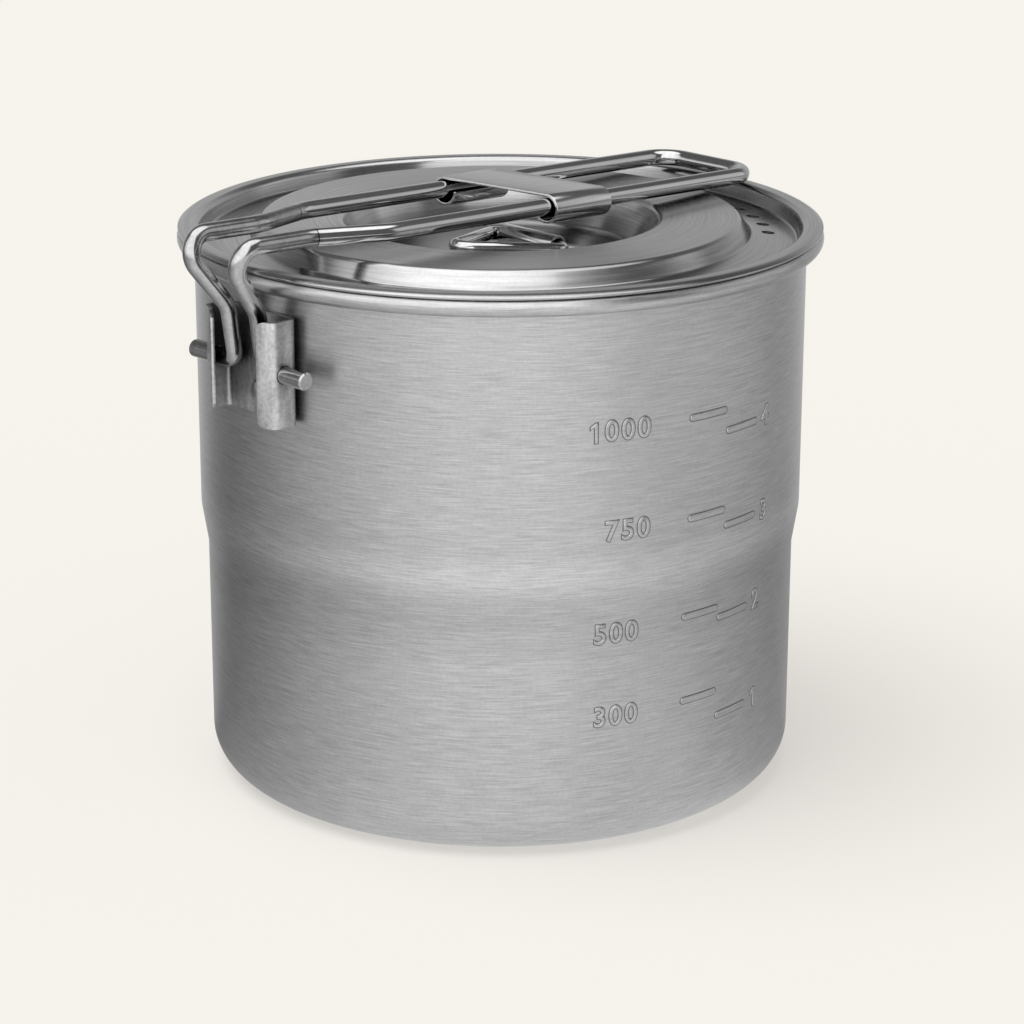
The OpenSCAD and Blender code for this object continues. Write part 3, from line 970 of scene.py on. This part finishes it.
def from_camera(right, away, up):
    """A point from its distances to the right of, behind and above the middle of the base, in the photo."""
    return Matrix.Rotation(math.radians(VIEW_TURN), 3, "Z") @ Vector((right, away, up)) * MM


def square(half, z):
    """Corners and face of a level square about the axis."""
    return [(-half, -half, z), (half, -half, z), (half, half, z), (-half, half, z)], [(0, 1, 2, 3)]


def make_floor():
    floor = new_piece("floor", *square(FLOOR_HALF, 0))
    graph = Graph("floor_paper")
    graph.nodes.clear()
    matt = graph.add("BsdfDiffuse", {"Color": FLOOR_PAPER})
    glow = graph.add("Emission", {"Color": BACKGROUND, "Strength": FLOOR_GLOW})
    both = graph.add("AddShader", {0: matt.outputs[0], 1: glow.outputs[0]})
    graph.add("OutputMaterial", {"Surface": both.outputs[0]})
    floor.data.materials.append(graph.material)


def studio_card(name, verts, faces, build_tone):
    """Something grey that only the metal sees; build_tone makes its brightness from its own coordinates."""
    card = new_piece(name, verts, faces)
    card.rotation_euler.z = math.radians(VIEW_TURN)
    graph = Graph(name)
    graph.nodes.clear()
    glow = graph.add("Emission", {"Strength": build_tone(graph)})
    graph.add("OutputMaterial", {"Surface": glow.outputs[0]})
    graph.material.cycles.emission_sampling = "NONE"
    card.data.materials.append(graph.material)
    card.visible_camera = False
    card.visible_diffuse = False
    card.visible_transmission = False
    card.visible_shadow = False


def floor_tone(graph):
    """Bright towards the camera, darker behind the pot to the left, bright straight behind the two edges of the
    wall, and shaded close to the pot, most of all on its right."""
    front = graph.around(13, start=25, end=140, inside=0.90, outside=0.26, smooth=False)
    left = graph.around(-150, start=25, end=125, inside=0.42, outside=1.0, smooth=False)
    tone = graph.times(front, left)
    for side, bright in EDGE_TONES:
        behind = graph.around(side * 175, start=5, end=60, inside=bright, outside=0.0, from_x=side * WALL_EDGE)
        tone = graph.calc("ADD", tone, behind)
    reach = graph.from_axis()
    near = graph.ramp(reach, start=0.17, end=0.26, low=0.87, high=1.0)
    shadow = graph.times(graph.around(105, start=20, end=60, inside=0.26, outside=0.0),
                         graph.ramp(reach, start=0.12, end=0.26, low=1.0, high=0.0))
    return graph.times(tone, near, graph.calc("SUBTRACT", 1.0, shadow))


def dome_tone(graph):
    """Dark room with a white softbox in front to the left and overhead, a panel to the right and a low back wall."""
    _, y, z = graph.axes()
    height = graph.calc("ARCTAN2", z, graph.from_axis())
    overhead = graph.angle_ramp(height, start=52, end=60, low=0.0, high=1.0)
    side = graph.times(graph.around(-30.5, start=61, end=66, inside=1.0, outside=0.0),
                       graph.around(-97, start=0, end=60, inside=0.55, outside=1.0),
                       graph.angle_ramp(height, start=2, end=14, low=0.5, high=1.0))
    from_front = graph.calc("ARCTAN2", z, graph.times(y, -1.0))
    softbox = graph.times(graph.calc("MAXIMUM", side, overhead),
                          graph.angle_ramp(from_front, start=105, end=118, low=1.0, high=0.0))
    back = graph.times(graph.around(172, start=25, end=105, inside=BACK_TONE, outside=0.0),
                       graph.angle_ramp(height, start=20, end=40, low=1.0, high=0.0))
    panel = graph.times(graph.around(92, start=16, end=28, inside=PANEL_TONE, outside=0.0),
                        graph.angle_ramp(height, start=4, end=14, low=0.0, high=1.0),
                        graph.angle_ramp(height, start=36, end=44, low=1.0, high=0.0))
    tone = graph.calc("ADD", ROOM_TONE, graph.times(softbox, SOFTBOX_TONE))
    return graph.calc("ADD", graph.calc("ADD", tone, back), panel)


def make_dome():
    verts = [(0, 0, DOME_RADIUS)]
    for i in range(1, DOME_RINGS + 1):
        e = math.radians(90 * i / DOME_RINGS)
        level, z = DOME_RADIUS * math.sin(e), DOME_RADIUS * math.cos(e)
        for k in range(DOME_SIDES):
            a = 2 * math.pi * k / DOME_SIDES
            verts.append((level * math.cos(a), level * math.sin(a), z))
    faces = [(0, 1 + k, 1 + (k + 1) % DOME_SIDES) for k in range(DOME_SIDES)]
    for i in range(DOME_RINGS - 1):
        upper = 1 + i * DOME_SIDES
        lower = upper + DOME_SIDES
        for k in range(DOME_SIDES):
            n = (k + 1) % DOME_SIDES
            faces.append((upper + k, upper + n, lower + n, lower + k))
    studio_card("dome", verts, faces, dome_tone)


def make_lamp():
    """Soft light that gives the floor its shadow; the metal mirrors the card and the dome instead."""
    light = bpy.data.lights.new("key", "SUN")
    light.angle = math.radians(LAMP_SPREAD)
    light.energy = LAMP_POWER
    lamp = add_object("key", light)
    lamp.location = from_camera(*LAMP_PLACE)
    lamp.rotation_euler = (-lamp.location).to_track_quat("-Z", "Y").to_euler()
    lamp.visible_glossy = False


def make_light():
    world = bpy.data.worlds.new("studio")
    bpy.context.scene.world = world
    world.use_nodes = True
    sky = world.node_tree.nodes["Background"]
    sky.inputs["Color"].default_value = BACKGROUND
    sky.inputs["Strength"].default_value = WORLD_GLOW
    make_lamp()
    studio_card("floor_card", *square(CARD_HALF, CARD_LIFT), floor_tone)
    make_dome()


def make_camera():
    data = bpy.data.cameras.new("camera")
    data.lens = LENS
    data.sensor_width = SENSOR_WIDTH
    camera = add_object("camera", data)
    turn = (Matrix.Rotation(math.radians(VIEW_TURN - CAMERA_PAN), 4, "Z")
            @ Matrix.Rotation(math.radians(90 - CAMERA_PITCH), 4, "X")
            @ Matrix.Rotation(math.radians(CAMERA_ROLL), 4, "Z"))
    camera.matrix_world = Matrix.Translation(from_camera(0, -CAMERA_DISTANCE, CAMERA_HEIGHT)) @ turn
    bpy.context.scene.camera = camera


make_pot()
make_lid()
make_handle()
make_clip()
make_bracket()
make_rivets()
make_saddle()
make_ring()
make_marks("volume_marks", wall_steel, RAISED)
# Painted shade: thin, slightly wider dark copies of the marks show as dark creases round their feet.
make_marks("mark_crease_shade", painted_shade_steel, CREASE_SHADE)
make_floor()
make_light()
make_camera()
bpy.context.scene.view_settings.view_transform = "Standard"
